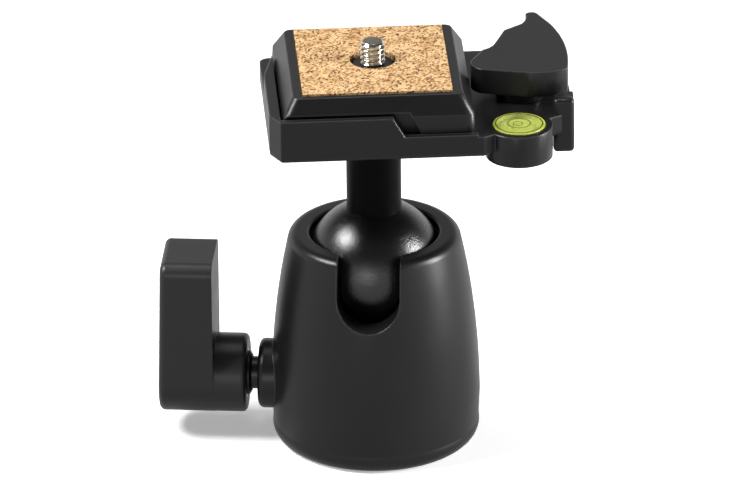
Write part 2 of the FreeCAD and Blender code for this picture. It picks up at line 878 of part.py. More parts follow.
def make_level():
    """Bull's eye level: metal cup, liquid and clear window with a ring."""
    where = (size("level_x"), -size("level_y"))
    bottom = floor - size("level_depth")
    wall = size("level_wall")
    radius = size("level_radius")
    cup = new_body("level_cup", (0, 0, stem_top), clamp_turn)
    disc = new_sketch(cup, "XY_Plane", "disc", bottom)
    add_circle(disc, where, radius)
    pad(cup, disc, size("level_depth") + 0.2)
    inside = new_sketch(cup, "XY_Plane", "inside", bottom + wall)
    add_circle(inside, where, radius - wall)
    pocket(cup, inside, size("level_depth") + 1, reverse=True)
    liquid = new_body("level_liquid", (0, 0, stem_top), clamp_turn)
    fill = new_sketch(liquid, "XY_Plane", "fill", bottom + wall + 0.02)
    add_circle(fill, where, radius - wall - 0.02)
    pad(liquid, fill, size("level_depth") - wall - 1.0)
    window = new_body("level_window", (0, 0, stem_top), clamp_turn)
    glass = new_sketch(window, "XY_Plane", "glass", floor - 0.95)
    add_circle(glass, where, radius - wall - 0.02)
    pad(window, glass, 1.25)


def plate_loft(body, name, low, low_size, high, high_size, corner):
    """Solid between two rounded rectangles at two heights."""
    sections = []
    for height, extent, label in ((low, low_size, "low"), (high, high_size, "high")):
        sketch = new_sketch(body, "XY_Plane", f"{name}_{label}", height)
        half_x = extent[0] / 2
        half_y = extent[1] / 2
        add_outline(
            sketch, (half_x - corner, -half_y),
            [(half_x, -(half_y - corner), corner, 1), (half_x, half_y - corner),
             (half_x - corner, half_y, corner, 1), (-(half_x - corner), half_y),
             (-half_x, half_y - corner, corner, 1), (-half_x, -(half_y - corner)),
             (-(half_x - corner), -half_y, corner, 1)],
        )
        sections.append(sketch)
    doc.recompute()
    feature = body.newObject("PartDesign::AdditiveLoft", f"{body.Label}_{name}")
    feature.Profile = sections[0]
    feature.Sections = [sections[1]]
    feature.Ruled = True
    doc.recompute()
    return feature


def make_plate():
    """Camera plate: skirt, bevel, cork recess, and a well and a hole for the screw."""
    body = new_body("plate", (0, 0, stem_top + plate_bottom), clamp_turn)
    width, depth = size("plate_width"), size("plate_depth")
    flare = size("plate_flare") * 2
    bevel = size("plate_bevel_width") * 2
    skirt = size("plate_skirt")
    top = skirt + size("plate_bevel_height")
    plate_loft(body, "skirt", 0, (width + flare, depth + flare), skirt, (width, depth), 2.0)
    plate_loft(body, "bevel", skirt, (width, depth), top, (width - bevel, depth - bevel), 2.0)
    step = new_sketch(body, "XZ_Plane", "step", depth / 2 - 0.9)
    end = size("tall_wall_end") + 4.4
    rise = size("tall_wall") - plate_bottom + seat_gap
    add_outline(
        step, (-(width / 2 + 4), -1),
        [(end + size("wall_slope") + 0.6, -1), (end + 0.1, rise), (-(width / 2 + 4), rise)],
    )
    pocket(body, step, 6, reverse=True)
    recess = new_sketch(body, "XY_Plane", "cork_recess", top)
    half_x = size("cork_width") / 2 + running
    half_y = size("cork_depth") / 2 + running
    add_rectangle(recess, (-half_x, -half_y), (half_x, half_y))
    pocket(body, recess, size("cork_thickness") - size("cork_proud"))
    well = new_sketch(body, "XY_Plane", "screw_well")
    head = size("camera_screw_head_radius") + free_gap
    add_circle(well, (0, 0), head)
    pocket(body, well, size("camera_screw_head_height") + 0.8, reverse=True)
    hole = new_sketch(body, "XY_Plane", "screw_hole")
    add_circle(hole, (0, 0), size("camera_screw_radius") + running)
    pocket(body, hole, top + 1, reverse=True)
    return body


def make_cork():
    """Cork pad with a hole round the camera screw."""
    top = plate_bottom + size("plate_skirt") + size("plate_bevel_height")
    low = stem_top + top - size("cork_thickness") + size("cork_proud") + 0.02
    body = new_body("cork_pad", (0, 0, low), clamp_turn)
    sketch = new_sketch(body, "XY_Plane", "pad")
    half_x, half_y = size("cork_width") / 2, size("cork_depth") / 2
    add_rectangle(sketch, (-half_x, -half_y), (half_x, half_y))
    add_circle(sketch, (0, 0), size("cork_hole_radius"))
    pad(body, sketch, size("cork_thickness"))
    return body


def make_camera_screw():
    """Camera screw with a slotted flat head under the plate and a clip above its shoulder."""
    low = stem_top + plate_bottom
    body = new_body("camera_screw", (0, 0, low), clamp_turn)
    sketch = new_sketch(body, "XZ_Plane", "section")
    radius = size("camera_screw_radius")
    neck = size("camera_neck_radius")
    head = size("camera_screw_head_radius")
    head_top = size("camera_screw_head_height") + 0.6
    top = size("plate_skirt") + size("plate_bevel_height") + size("cork_proud")
    reach = top + size("camera_screw_reach")
    add_outline(
        sketch, (0, 0.6),
        [(head, 0.6), (head, head_top), (neck, head_top), (neck, top + free_gap),
         (radius, top + free_gap), (radius, reach - 0.7),
         (radius - 0.7, reach), (0, reach)],
    )
    turned(body, sketch)
    slot = new_sketch(body, "XZ_Plane", "slot")
    add_rectangle(slot, (-1.1, 0), (1.1, 2.0))
    pocket(body, slot, head * 2 + 2, middle=True)
    clip = new_body("screw_clip", (0, 0, low), clamp_turn)
    ring = new_sketch(clip, "XY_Plane", "ring", top - size("cork_proud") - 1.1 + 0.05)
    add_circle(ring, (0, 0), size("clip_radius"))
    add_circle(ring, (0, 0), neck + running)
    pad(clip, ring, size("clip_thickness"))


def check_document():
    """Stop when a feature failed or a sub-part has no sound shape."""
    for item in doc.Objects:
        if "Invalid" in item.State or "Error" in item.State:
            raise ValueError(f"{item.Label} did not rebuild")
    for piece in pieces:
        if piece.Shape.isNull() or not piece.Shape.isValid():
            raise ValueError(f"{piece.Label} has no sound shape")


def write_pieces():
    """Write each sub-part to its own file."""
    os.makedirs("parts", exist_ok=True)
    for piece in pieces:
        piece.Shape.exportStep(os.path.join("parts", f"{piece.Label}.step"))
        box = piece.Shape.BoundBox
        print(
            f"{piece.Label}: {len(piece.Shape.Solids)} solid, {piece.Shape.Volume:.1f} mm3, "
            f"x {box.XMin:.1f} {box.XMax:.1f} y {box.YMin:.1f} {box.YMax:.1f} z {box.ZMin:.1f} {box.ZMax:.1f}"
        )


make_housing()
make_upper_seat()
make_lower_cup()
make_wedge()
make_pressure_cup()
make_base_plate()
make_base_screws()
make_lock_screw()
make_lock_collar()
make_lever_insert()
make_lock_lever()
make_ball()
make_stem()
make_clamp_base()
make_clamp_screw()
make_clamp_washer()
make_qr_lever()
make_lever_pivot()
make_lever_spring()
make_level()
make_plate()
make_cork()
make_camera_screw()
doc.recompute()
check_document()
write_pieces()
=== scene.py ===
"""Scene for a tripod ball head: finishes, small turned and moulded details, light and camera."""

import json
import logging
import math
from dataclasses import dataclass
from enum import Enum

import bmesh
import bpy
from mathutils import Matrix, Vector

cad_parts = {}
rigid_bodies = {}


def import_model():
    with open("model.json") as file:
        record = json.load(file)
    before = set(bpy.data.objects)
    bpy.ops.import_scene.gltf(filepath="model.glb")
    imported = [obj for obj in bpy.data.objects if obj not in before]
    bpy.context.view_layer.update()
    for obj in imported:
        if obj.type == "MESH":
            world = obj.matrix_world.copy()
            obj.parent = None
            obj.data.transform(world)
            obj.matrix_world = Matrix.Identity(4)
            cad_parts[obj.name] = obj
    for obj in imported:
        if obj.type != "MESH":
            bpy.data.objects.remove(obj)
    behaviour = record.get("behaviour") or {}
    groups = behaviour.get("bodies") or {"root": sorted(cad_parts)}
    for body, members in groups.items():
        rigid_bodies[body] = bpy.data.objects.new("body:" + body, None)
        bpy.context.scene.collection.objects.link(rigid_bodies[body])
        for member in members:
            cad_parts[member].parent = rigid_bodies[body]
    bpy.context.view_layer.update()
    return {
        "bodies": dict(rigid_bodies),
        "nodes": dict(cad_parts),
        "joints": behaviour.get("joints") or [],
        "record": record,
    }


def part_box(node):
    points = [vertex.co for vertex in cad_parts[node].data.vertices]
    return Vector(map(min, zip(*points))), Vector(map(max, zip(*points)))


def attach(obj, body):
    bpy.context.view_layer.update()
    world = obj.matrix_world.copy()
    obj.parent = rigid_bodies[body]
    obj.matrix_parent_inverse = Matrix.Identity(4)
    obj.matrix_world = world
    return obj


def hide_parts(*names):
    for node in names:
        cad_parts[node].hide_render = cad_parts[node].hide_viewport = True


MM = 0.001
IMAGE_WIDTH = 730
SHARP_ANGLE = math.radians(38)
WELD_DISTANCE = 0.001 * MM

log = logging.getLogger("ball_head")
Color = tuple[float, float, float, float]
WHITE: Color = (1.0, 1.0, 1.0, 1.0)


class Node(Enum):
    """Names of the solids that the scene dresses."""

    HOUSING = "housing"
    UPPER_SEAT = "upper_ball_seat"
    LOWER_CUP = "lower_ball_cup"
    WEDGE = "wedge_block"
    PRESSURE_CUP = "pressure_cup"
    BASE_PLATE = "base_plate"
    BASE_SCREWS = "base_screws"
    LOCK_SCREW = "lock_screw"
    LOCK_COLLAR = "lock_collar"
    LEVER_INSERT = "lever_insert"
    LOCK_LEVER = "lock_lever"
    BALL = "ball"
    STEM = "stem"
    CLAMP_BASE = "clamp_base"
    CLAMP_SCREW = "clamp_screw"
    CLAMP_WASHER = "clamp_washer"
    QR_LEVER = "qr_lever"
    LEVER_PIVOT = "lever_pivot"
    LEVER_SPRING = "lever_spring"
    LEVEL_CUP = "level_cup"
    LEVEL_LIQUID = "level_liquid"
    LEVEL_WINDOW = "level_window"
    PLATE = "plate"
    CORK = "cork_pad"
    CAMERA_SCREW = "camera_screw"
    SCREW_CLIP = "screw_clip"


def new_group(name: str, inputs: dict[str, float], outputs: dict[str, str]) -> bpy.types.NodeTree:
    """Start a shader node group.

    Args:
        name: Name of the group.
        inputs: Default of each named input value.
        outputs: Socket type of each named output.

    Returns:
        The group with its input and output nodes in place.
    """
    group = bpy.data.node_groups.new(name, "ShaderNodeTree")
    for label, default in inputs.items():
        socket = group.interface.new_socket(label, in_out="INPUT", socket_type="NodeSocketFloat")
        socket.default_value = default
    for label, kind in outputs.items():
        group.interface.new_socket(label, in_out="OUTPUT", socket_type=kind)
    group.nodes.new("NodeGroupInput").name = "In"
    group.nodes.new("NodeGroupOutput").name = "Out"
    return group


def new_material(name: str) -> tuple[bpy.types.Material, bpy.types.Nodes, bpy.types.NodeLinks]:
    """Start a material with its Principled shader.

    Args:
        name: Name of the material.

    Returns:
        The material, its nodes and its links.
    """
    material = bpy.data.materials.new(name)
    material.use_nodes = True
    return material, material.node_tree.nodes, material.node_tree.links


def mix_node(nodes: bpy.types.Nodes, first: Color, second: Color) -> bpy.types.Node:
    """Add a node that mixes two colours.

    Args:
        nodes: Nodes of the material.
        first: Colour at factor 0.
        second: Colour at factor 1.

    Returns:
        The mix node.
    """
    mix = nodes.new("ShaderNodeMix")
    mix.data_type = "RGBA"
    mix.inputs["A"].default_value = first
    mix.inputs["B"].default_value = second
    return mix


def range_node(
    nodes: bpy.types.Nodes,
    source: tuple[float, float] = (0.0, 1.0),
    target: tuple[float, float] = (0.0, 1.0),
    smooth: bool = False,
) -> bpy.types.Node:
    """Add a node that maps one range of values to another and stops at its ends.

    Args:
        nodes: Nodes of the material, world or group.
        source: Values that go in.
        target: Values that come out for them.
        smooth: True for a soft start and end.

    Returns:
        The map range node.
    """
    ramp = nodes.new("ShaderNodeMapRange")
    ramp.interpolation_type = "SMOOTHSTEP" if smooth else "LINEAR"
    for label, value in zip(("From Min", "From Max", "To Min", "To Max"), source + target):
        ramp.inputs[label].default_value = value
    return ramp


def larger_of(
    nodes: bpy.types.Nodes,
    links: bpy.types.NodeLinks,
    first: bpy.types.NodeSocket,
    second: bpy.types.NodeSocket,
) -> bpy.types.NodeSocket:
    """Add a node that takes the larger of two values.

    Args:
        nodes: Nodes of the material or the world.
        links: Its links.
        first: One value.
        second: The other value.

    Returns:
        The larger value.
    """
    larger = nodes.new("ShaderNodeMath")
    larger.operation = "MAXIMUM"
    links.new(first, larger.inputs[0])
    links.new(second, larger.inputs[1])
    return larger.outputs["Value"]


def scaled_noise(group: bpy.types.NodeTree, scale: bpy.types.NodeSocket, detail: float) -> bpy.types.Node:
    """Add a noise texture in object coordinates to a group.

    Args:
        group: Group that gets the nodes.
        scale: Socket that gives the noise scale.
        detail: Octaves of the noise.

    Returns:
        The noise node.
    """
    coordinates = group.nodes.new("ShaderNodeTexCoord")
    noise = group.nodes.new("ShaderNodeTexNoise")
    noise.inputs["Detail"].default_value = detail
    group.links.new(coordinates.outputs["Object"], noise.inputs["Vector"])
    group.links.new(scale, noise.inputs["Scale"])
    return noise


def build_grain_group() -> bpy.types.NodeTree:
    """Fine grain for paint and mouldings: a height and a roughness that vary over the surface.

    Returns:
        The group.
    """
    inputs = {"Grain Scale": 2500.0, "Cloud Scale": 60.0, "Rough Low": 0.3, "Rough High": 0.4}
    outputs = {"Height": "NodeSocketFloat", "Roughness": "NodeSocketFloat"}
    cloud_range = (0.3, 0.7)
    group = new_group("grain", inputs, outputs)
    nodes, links = group.nodes, group.links
    grain = scaled_noise(group, nodes["In"].outputs["Grain Scale"], 2.0)
    cloud = scaled_noise(group, nodes["In"].outputs["Cloud Scale"], 3.0)
    spread = range_node(nodes, cloud_range)
    links.new(cloud.outputs["Fac"], spread.inputs["Value"])
    links.new(nodes["In"].outputs["Rough Low"], spread.inputs["To Min"])
    links.new(nodes["In"].outputs["Rough High"], spread.inputs["To Max"])
    links.new(grain.outputs["Fac"], nodes["Out"].inputs["Height"])
    links.new(spread.outputs["Result"], nodes["Out"].inputs["Roughness"])
    return group


def build_edge_group() -> bpy.types.NodeTree:
    """Edge wear and painted highlight: a mask that is 1 on sharp edges, where the finishes paint a
    lighter colour, and the normal rounded over them.

    Returns:
        The group.
    """
    inputs = {"Radius": 0.4 * MM, "Amount": 1.0}
    outputs = {"Mask": "NodeSocketFloat", "Normal": "NodeSocketVector"}
    flat_to_sharp = (0.995, 0.8)
    group = new_group("edge_wear_and_highlight", inputs, outputs)
    nodes, links = group.nodes, group.links
    bevel = nodes.new("ShaderNodeBevel")
    bevel.samples = 6
    geometry = nodes.new("ShaderNodeNewGeometry")
    dot = nodes.new("ShaderNodeVectorMath")
    dot.operation = "DOT_PRODUCT"
    ramp = range_node(nodes, flat_to_sharp)
    scale = nodes.new("ShaderNodeMath")
    scale.operation = "MULTIPLY"
    links.new(nodes["In"].outputs["Radius"], bevel.inputs["Radius"])
    links.new(bevel.outputs["Normal"], dot.inputs[0])
    links.new(geometry.outputs["Normal"], dot.inputs[1])
    links.new(dot.outputs["Value"], ramp.inputs["Value"])
    links.new(ramp.outputs["Result"], scale.inputs[0])
    links.new(nodes["In"].outputs["Amount"], scale.inputs[1])
    links.new(scale.outputs["Value"], nodes["Out"].inputs["Mask"])
    links.new(bevel.outputs["Normal"], nodes["Out"].inputs["Normal"])
    return group


@dataclass(frozen=True)
class Finish:
    """A painted, moulded or metal finish with grain, and a lighter colour on sharp edges that is partly
    edge wear and partly a painted highlight.
    """

    name: str
    color: Color
    wear_and_highlight: Color
    rough_low: float
    rough_high: float
    metallic: float = 0.0
    grain_scale: float = 2500.0
    grain_height: float = 0.08
    grain_depth: float = 0.1 * MM
    edge_radius: float = 0.4 * MM
    wear_and_highlight_amount: float = 0.5
    specular: float = 0.5

    def build(self, grain: bpy.types.NodeTree, edge: bpy.types.NodeTree) -> bpy.types.Material:
        """Make the material.

        Args:
            grain: The shared grain group.
            edge: The shared group for edge wear and painted edge highlights.

        Returns:
            The finished material.
        """
        material, nodes, links = new_material(self.name)
        shader = nodes["Principled BSDF"]
        shader.inputs["Metallic"].default_value = self.metallic
        shader.inputs["Specular IOR Level"].default_value = self.specular
        texture = nodes.new("ShaderNodeGroup")
        texture.node_tree = grain
        texture.inputs["Grain Scale"].default_value = self.grain_scale
        texture.inputs["Rough Low"].default_value = self.rough_low
        texture.inputs["Rough High"].default_value = self.rough_high
        wear_and_highlight = nodes.new("ShaderNodeGroup")
        wear_and_highlight.node_tree = edge
        wear_and_highlight.inputs["Radius"].default_value = self.edge_radius
        wear_and_highlight.inputs["Amount"].default_value = self.wear_and_highlight_amount
        # Sharp edges get the lighter colour: partly edge wear, partly a painted highlight.
        mix = mix_node(nodes, self.color, self.wear_and_highlight)
        bump = nodes.new("ShaderNodeBump")
        bump.inputs["Strength"].default_value = self.grain_height
        bump.inputs["Distance"].default_value = self.grain_depth
        links.new(wear_and_highlight.outputs["Mask"], mix.inputs["Factor"])
        links.new(mix.outputs["Result"], shader.inputs["Base Color"])
        links.new(texture.outputs["Roughness"], shader.inputs["Roughness"])
        links.new(texture.outputs["Height"], bump.inputs["Height"])
        links.new(wear_and_highlight.outputs["Normal"], bump.inputs["Normal"])
        links.new(bump.outputs["Normal"], shader.inputs["Normal"])
        return material


def grey(value: float) -> Color:
    """A grey of a linear value, a trace cooler than neutral."""
    return (value, value, value * 1.02, 1.0)


# The second colour of each finish goes on its sharp edges: partly edge wear, partly a painted highlight.
PAINT = Finish(
    "satin_black_paint", grey(0.0075), grey(0.14), 0.28, 0.35,
    grain_height=0.12, edge_radius=0.6 * MM, specular=0.3,
)
MOULDED = Finish(
    "moulded_black", grey(0.022), grey(0.1), 0.32, 0.42,
    grain_scale=3200.0, grain_height=0.14, specular=0.3,
)
BALL_FINISH = Finish(
    "gloss_black_ball", grey(0.003), grey(0.03), 0.18, 0.25,
    grain_scale=2600.0, grain_height=0.8, edge_radius=0.2 * MM, specular=0.62,
)
STEM_FINISH = Finish("black_stem", grey(0.001), grey(0.02), 0.3, 0.38, specular=0.05)
DARK_STEEL = Finish("dark_steel", grey(0.03), grey(0.12), 0.28, 0.4, metallic=0.7)
STEEL = Finish("zinc_steel", grey(0.45), grey(0.7), 0.25, 0.4, metallic=1.0)
NICKEL = Finish(
    "nickel", (0.62, 0.59, 0.5, 1.0), (0.85, 0.83, 0.76, 1.0), 0.12, 0.24,
    metallic=1.0, grain_height=0.04, edge_radius=0.1 * MM,
)
BRASS = Finish("turned_brass", (0.6, 0.42, 0.16, 1.0), (0.8, 0.65, 0.3, 1.0), 0.25, 0.35, metallic=1.0)
NYLON = Finish("black_nylon", grey(0.006), grey(0.02), 0.45, 0.55, wear_and_highlight_amount=0.2, specular=0.2)
LEVEL_RIM = Finish(
    "level_rim", (0.42, 0.47, 0.05, 1.0), (0.75, 0.8, 0.3, 1.0), 0.15, 0.25,
    grain_height=0.02, edge_radius=0.2 * MM,
)
LEVEL_MARK = Finish("level_mark", (0.05, 0.06, 0.01, 1.0), (0.05, 0.06, 0.01, 1.0), 0.3, 0.35, wear_and_highlight_amount=0.0)


@dataclass(frozen=True)
class CorkFinish:
    """Pressed cork granules with dark binder between them, in paler and darker patches."""

    name: str = "pressed_cork"
    roughness: float = 0.85
    specular: float = 0.2
    granule_scale: float = 2100.0
    granule_bump: float = 0.6
    granule_depth: float = 0.2 * MM
    dark: Color = (0.05, 0.025, 0.012, 1.0)
    dark_until: float = 0.12
    tan: Color = (0.36, 0.2, 0.08, 1.0)
    tan_at: float = 0.36
    pale: Color = (0.63, 0.42, 0.215, 1.0)
    pale_from: float = 0.52
    patch_scale: float = 260.0
    patch_detail: float = 3.0
    patch_range: tuple[float, float] = (0.45, 0.75)
    patch_tint: Color = (0.62, 0.5, 0.4, 1.0)

    def build(self) -> bpy.types.Material:
        """Make the cork material.

        Returns:
            The finished material.
        """
        material, nodes, links = new_material(self.name)
        shader = nodes["Principled BSDF"]
        shader.inputs["Roughness"].default_value = self.roughness
        shader.inputs["Specular IOR Level"].default_value = self.specular
        coordinates = nodes.new("ShaderNodeTexCoord")
        cells = nodes.new("ShaderNodeTexVoronoi")
        cells.inputs["Scale"].default_value = self.granule_scale
        tone = nodes.new("ShaderNodeValToRGB")
        stops = tone.color_ramp.elements
        stops[0].position = self.dark_until
        stops[0].color = self.dark
        stops[1].position = self.pale_from
        stops[1].color = self.pale
        stops.new(self.tan_at).color = self.tan
        patches = nodes.new("ShaderNodeTexNoise")
        patches.inputs["Scale"].default_value = self.patch_scale
        patches.inputs["Detail"].default_value = self.patch_detail
        tint = mix_node(nodes, self.pale, self.patch_tint)
        tint.blend_type = "MULTIPLY"
        soften = range_node(nodes, self.patch_range)
        bump = nodes.new("ShaderNodeBump")
        bump.inputs["Strength"].default_value = self.granule_bump
        bump.inputs["Distance"].default_value = self.granule_depth
        for texture in (cells, patches):
            links.new(coordinates.outputs["Object"], texture.inputs["Vector"])
        links.new(cells.outputs["Color"], tone.inputs["Fac"])
        links.new(tone.outputs["Color"], tint.inputs["A"])
        links.new(patches.outputs["Fac"], soften.inputs["Value"])
        links.new(soften.outputs["Result"], tint.inputs["Factor"])
        links.new(tint.outputs["Result"], shader.inputs["Base Color"])
        links.new(cells.outputs["Distance"], bump.inputs["Height"])
        links.new(bump.outputs["Normal"], shader.inputs["Normal"])
        return material


@dataclass(frozen=True)
class LevelFinish:
    """Lime liquid or window of the level, with clouds of a paler colour."""

    name: str
    color: Color
    pale: Color
    roughness: float = 0.12
    alpha: float = 1.0
    cloud_scale: float = 220.0

    def build(self) -> bpy.types.Material:
        """Make the material.

        Returns:
            The finished material.
        """
        material, nodes, links = new_material(self.name)
        shader = nodes["Principled BSDF"]
        shader.inputs["Roughness"].default_value = self.roughness
        shader.inputs["Alpha"].default_value = self.alpha
        coordinates = nodes.new("ShaderNodeTexCoord")
        clouds = nodes.new("ShaderNodeTexNoise")
        clouds.inputs["Scale"].default_value = self.cloud_scale
        mix = mix_node(nodes, self.color, self.pale)
        links.new(coordinates.outputs["Object"], clouds.inputs["Vector"])
        links.new(clouds.outputs["Fac"], mix.inputs["Factor"])
        links.new(mix.outputs["Result"], shader.inputs["Base Color"])
        return material


LIQUID = LevelFinish("lime_liquid", (0.3, 0.36, 0.012, 1.0), (0.45, 0.52, 0.05, 1.0))
WINDOW = LevelFinish(
    "clear_window", (0.6, 0.66, 0.2, 1.0), (0.75, 0.8, 0.35, 1.0), roughness=0.05, alpha=0.15
)


class Workshop:
    """Builds meshes and puts finishes on them."""

    def __init__(self, frame: dict) -> None:
        """Keep the solids and build every finish once.

        Args:
            frame: The loaded frame.
        """
        self.nodes = frame["nodes"]
        grain = build_grain_group()
        edge = build_edge_group()
        finishes = (
            PAINT, MOULDED, BALL_FINISH, STEM_FINISH, DARK_STEEL, STEEL, NICKEL, BRASS, NYLON,
            LEVEL_RIM, LEVEL_MARK,
        )
        self.materials = {finish: finish.build(grain, edge) for finish in finishes}
        self.cork = CorkFinish().build()
        self.liquid = LIQUID.build()
        self.window = WINDOW.build()

    def dress(self, node: Node, material: bpy.types.Material) -> None:
        """Put a finish on a solid.

        Args:
            node: The solid.
            material: Its finish.
        """
        item = self.nodes[node.value]
        item.data.materials.clear()
        item.data.materials.append(material)
        log.info("dressed %s with %s", node.value, material.name)

    def round_edges(self, node: Node, width: float, steps: int = 3) -> None:
        """Round the sharp edges of a solid a little, as paint and casting do.

        Args:
            node: The solid.
            width: Width of the rounding in metres.
            steps: Number of faces across it.
        """
        weld = self.nodes[node.value].modifiers.new("join_faces", "WELD")
        weld.merge_threshold = WELD_DISTANCE
        bevel = self.nodes[node.value].modifiers.new("soft_edges", "BEVEL")
        bevel.width = width
        bevel.segments = steps
        bevel.limit_method = "ANGLE"
        bevel.angle_limit = SHARP_ANGLE
        bevel.harden_normals = True
        bevel.use_clamp_overlap = True
        log.info("rounded %s by %.1f mm", node.value, width / MM)

    def add_mesh(
        self,
        name: str,
        vertices: list[Vector],
        faces: list[tuple[int, ...]],
        material: bpy.types.Material,
        body: str,
    ) -> bpy.types.Object:
        """Make a piece of the scene from vertices and faces.

        Args:
            name: Name of the piece.
            vertices: Corners in metres, in the row frame.
            faces: Faces as corner numbers.
            material: Finish of the piece.
            body: Body that the piece moves with.

        Returns:
            The new piece.
        """
        mesh = bpy.data.meshes.new(name)
        mesh.from_pydata(vertices, [], faces)
        edit = bmesh.new()
        edit.from_mesh(mesh)
        bmesh.ops.recalc_face_normals(edit, faces=edit.faces)
        edit.to_mesh(mesh)
        edit.free()
        mesh.shade_smooth()
        mesh.set_sharp_from_angle(angle=SHARP_ANGLE)
        mesh.materials.append(material)
        piece = bpy.data.objects.new(name, mesh)
        bpy.context.scene.collection.objects.link(piece)
        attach(piece, body)
        log.info("made %s with %d faces", name, len(faces))
        return piece


def around(centre: Vector, radius: float, angle: float, height: float) -> Vector:
    """Point at a radius, an angle and a height about a vertical axis through a centre."""
    return centre + Vector((radius * math.cos(angle), radius * math.sin(angle), height))


def lathe(
    profile: list[tuple[float, float]], centre: Vector, steps: int = 64
) -> tuple[list[Vector], list[tuple[int, ...]]]:
    """Turn a closed profile of radius and height about a vertical axis.

    Args:
        profile: Radius and height of each corner, in metres, going round the section.
        centre: Point on the axis at height zero.
        steps: Number of steps round the axis.

    Returns:
        Vertices and faces.
    """
    vertices, faces = [], []
    count = len(profile)
    for step in range(steps):
        angle = 2 * math.pi * step / steps
        vertices += [around(centre, radius, angle, height) for radius, height in profile]
    for step in range(steps):
        here, there = step * count, (step + 1) % steps * count
        for corner in range(count):
            after = (corner + 1) % count
            faces.append((here + corner, there + corner, there + after, here + after))
    return vertices, faces


def node_centre(node: Node) -> Vector:
    """Middle of a solid's box in X and Y, at its lowest height."""
    low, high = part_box(node.value)
    return Vector(((low[0] + high[0]) / 2, (low[1] + high[1]) / 2, low[2]))


@dataclass
class CameraScrew:
    """Quarter inch camera screw: bevelled head, plain shoulder, cut thread and bevelled tip."""

    radius: float = 3.175 * MM
    head_height: float = 2.4 * MM
    head_bevel: float = 0.4 * MM
    shoulder: float = 3.4 * MM
    shoulder_step: float = 0.05 * MM
    pitch: float = 1.27 * MM
    thread_depth: float = 0.62 * MM
    flank_slope: float = 1.5
    crest_share: float = 0.2
    run_in: float = 0.5
    tip: float = 0.7 * MM
    steps_per_turn: int = 48
    rings_per_pitch: int = 10

    def depth_share(self, phase: float) -> float:
        """Depth share of the thread at a phase of its pitch, 0 on the crest and 1 in the root."""
        flank = abs(phase % 1.0 - 0.5) * 2.0
        return min(max((1.0 - flank) * self.flank_slope - self.crest_share, 0.0), 1.0)

    def thread_radius(self, above: float, below: float, share: float) -> float:
        """Radius of the threaded end at one point.

        Args:
            above: Height above the start of the thread.
            below: Depth below the end of the screw.
            share: Share of the turn round the axis.

        Returns:
            The radius in metres.
        """
        into = min(above / (self.run_in * self.pitch), 1.0)
        cut = self.thread_depth * self.depth_share(above / self.pitch - share) * into
        return self.radius - max(cut, self.tip - below)

    def build(self, shop: Workshop) -> None:
        """Make the threaded screw in the place of its plain solid.

        Args:
            shop: The workshop that makes pieces.
        """
        low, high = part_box(Node.CAMERA_SCREW.value)
        centre = node_centre(Node.CAMERA_SCREW)
        head_radius = (high[0] - low[0]) / 2
        length = high[2] - low[2]
        start = self.head_height + self.shoulder
        plain = [
            (head_radius - self.head_bevel, 0.0),
            (head_radius, self.head_bevel),
            (head_radius, self.head_height - self.head_bevel),
            (head_radius - self.head_bevel, self.head_height),
            (self.radius, self.head_height + self.shoulder_step),
            (self.radius, start),
        ]
        steps = self.steps_per_turn
        shares = [step / steps for step in range(steps)]
        vertices, faces = [], []
        for radius, height in plain:
            vertices += [around(centre, radius, 2 * math.pi * share, height) for share in shares]
        count = int((length - start) / self.pitch * self.rings_per_pitch)
        for number in range(1, count + 1):
            above = (length - start) * number / count
            for share in shares:
                radius = self.thread_radius(above, length - start - above, share)
                vertices.append(around(centre, radius, 2 * math.pi * share, start + above))
        last = (len(plain) + count - 1) * steps
        for ring in range(0, last, steps):
            for step in range(steps):
                after = (step + 1) % steps
                faces.append((ring + step, ring + after, ring + steps + after, ring + steps + step))
        faces.append(tuple(last + step for step in range(steps)))
        faces.append(tuple(reversed(range(steps))))
        piece = shop.add_mesh(
            "threaded_camera_screw", vertices, faces, shop.materials[NICKEL], "camera_screw"
        )
        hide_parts(Node.CAMERA_SCREW.value)


@dataclass
class RoundLevel:
    """Marks of the round level: inner ring, outer ring and the edge of the bubble."""

    ring_radius: float = 2.85 * MM
    ring_width: float = 0.22 * MM
    outer_width: float = 0.3 * MM
    bubble_radius: float = 1.2 * MM
    bubble_width: float = 0.14 * MM
    bubble_left: float = 0.3 * MM
    bubble_front: float = 0.2 * MM
    mark_gap: float = 0.005 * MM
    mark_top: float = 0.04 * MM

    def build(self, shop: Workshop) -> None:
        """Make the two rings and the edge of the bubble.

        Args:
            shop: The workshop that makes pieces.
        """
        low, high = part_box(Node.LEVEL_WINDOW.value)
        centre = node_centre(Node.LEVEL_WINDOW)
        flat = Vector((centre.x, centre.y, high[2]))
        outer_radius = (high[0] - low[0]) / 2 - self.outer_width / 2
        bubble = flat + Vector((-self.bubble_left, -self.bubble_front, 0.0))
        self.make_ring(shop, "level_ring", flat, self.ring_radius, self.ring_width)
        self.make_ring(shop, "level_outer_ring", flat, outer_radius, self.outer_width)
        self.make_ring(shop, "level_bubble_edge", bubble, self.bubble_radius, self.bubble_width)

    def make_ring(self, shop: Workshop, name: str, centre: Vector, radius: float, width: float) -> None:
        """Make one flat printed ring just above the window.

        Args:
            shop: The workshop that makes pieces.
            name: Name of the piece.
            centre: Middle of the ring on the window's face.
            radius: Middle radius of the ring.
            width: Width of the ring's line.
        """
        inside, outside = radius - width / 2, radius + width / 2
        profile = [
            (inside, self.mark_gap), (outside, self.mark_gap), (outside, self.mark_top),
            (inside, self.mark_top),
        ]
        vertices, faces = lathe(profile, centre)
        shop.add_mesh(name, vertices, faces, shop.materials[LEVEL_MARK], "clamp")


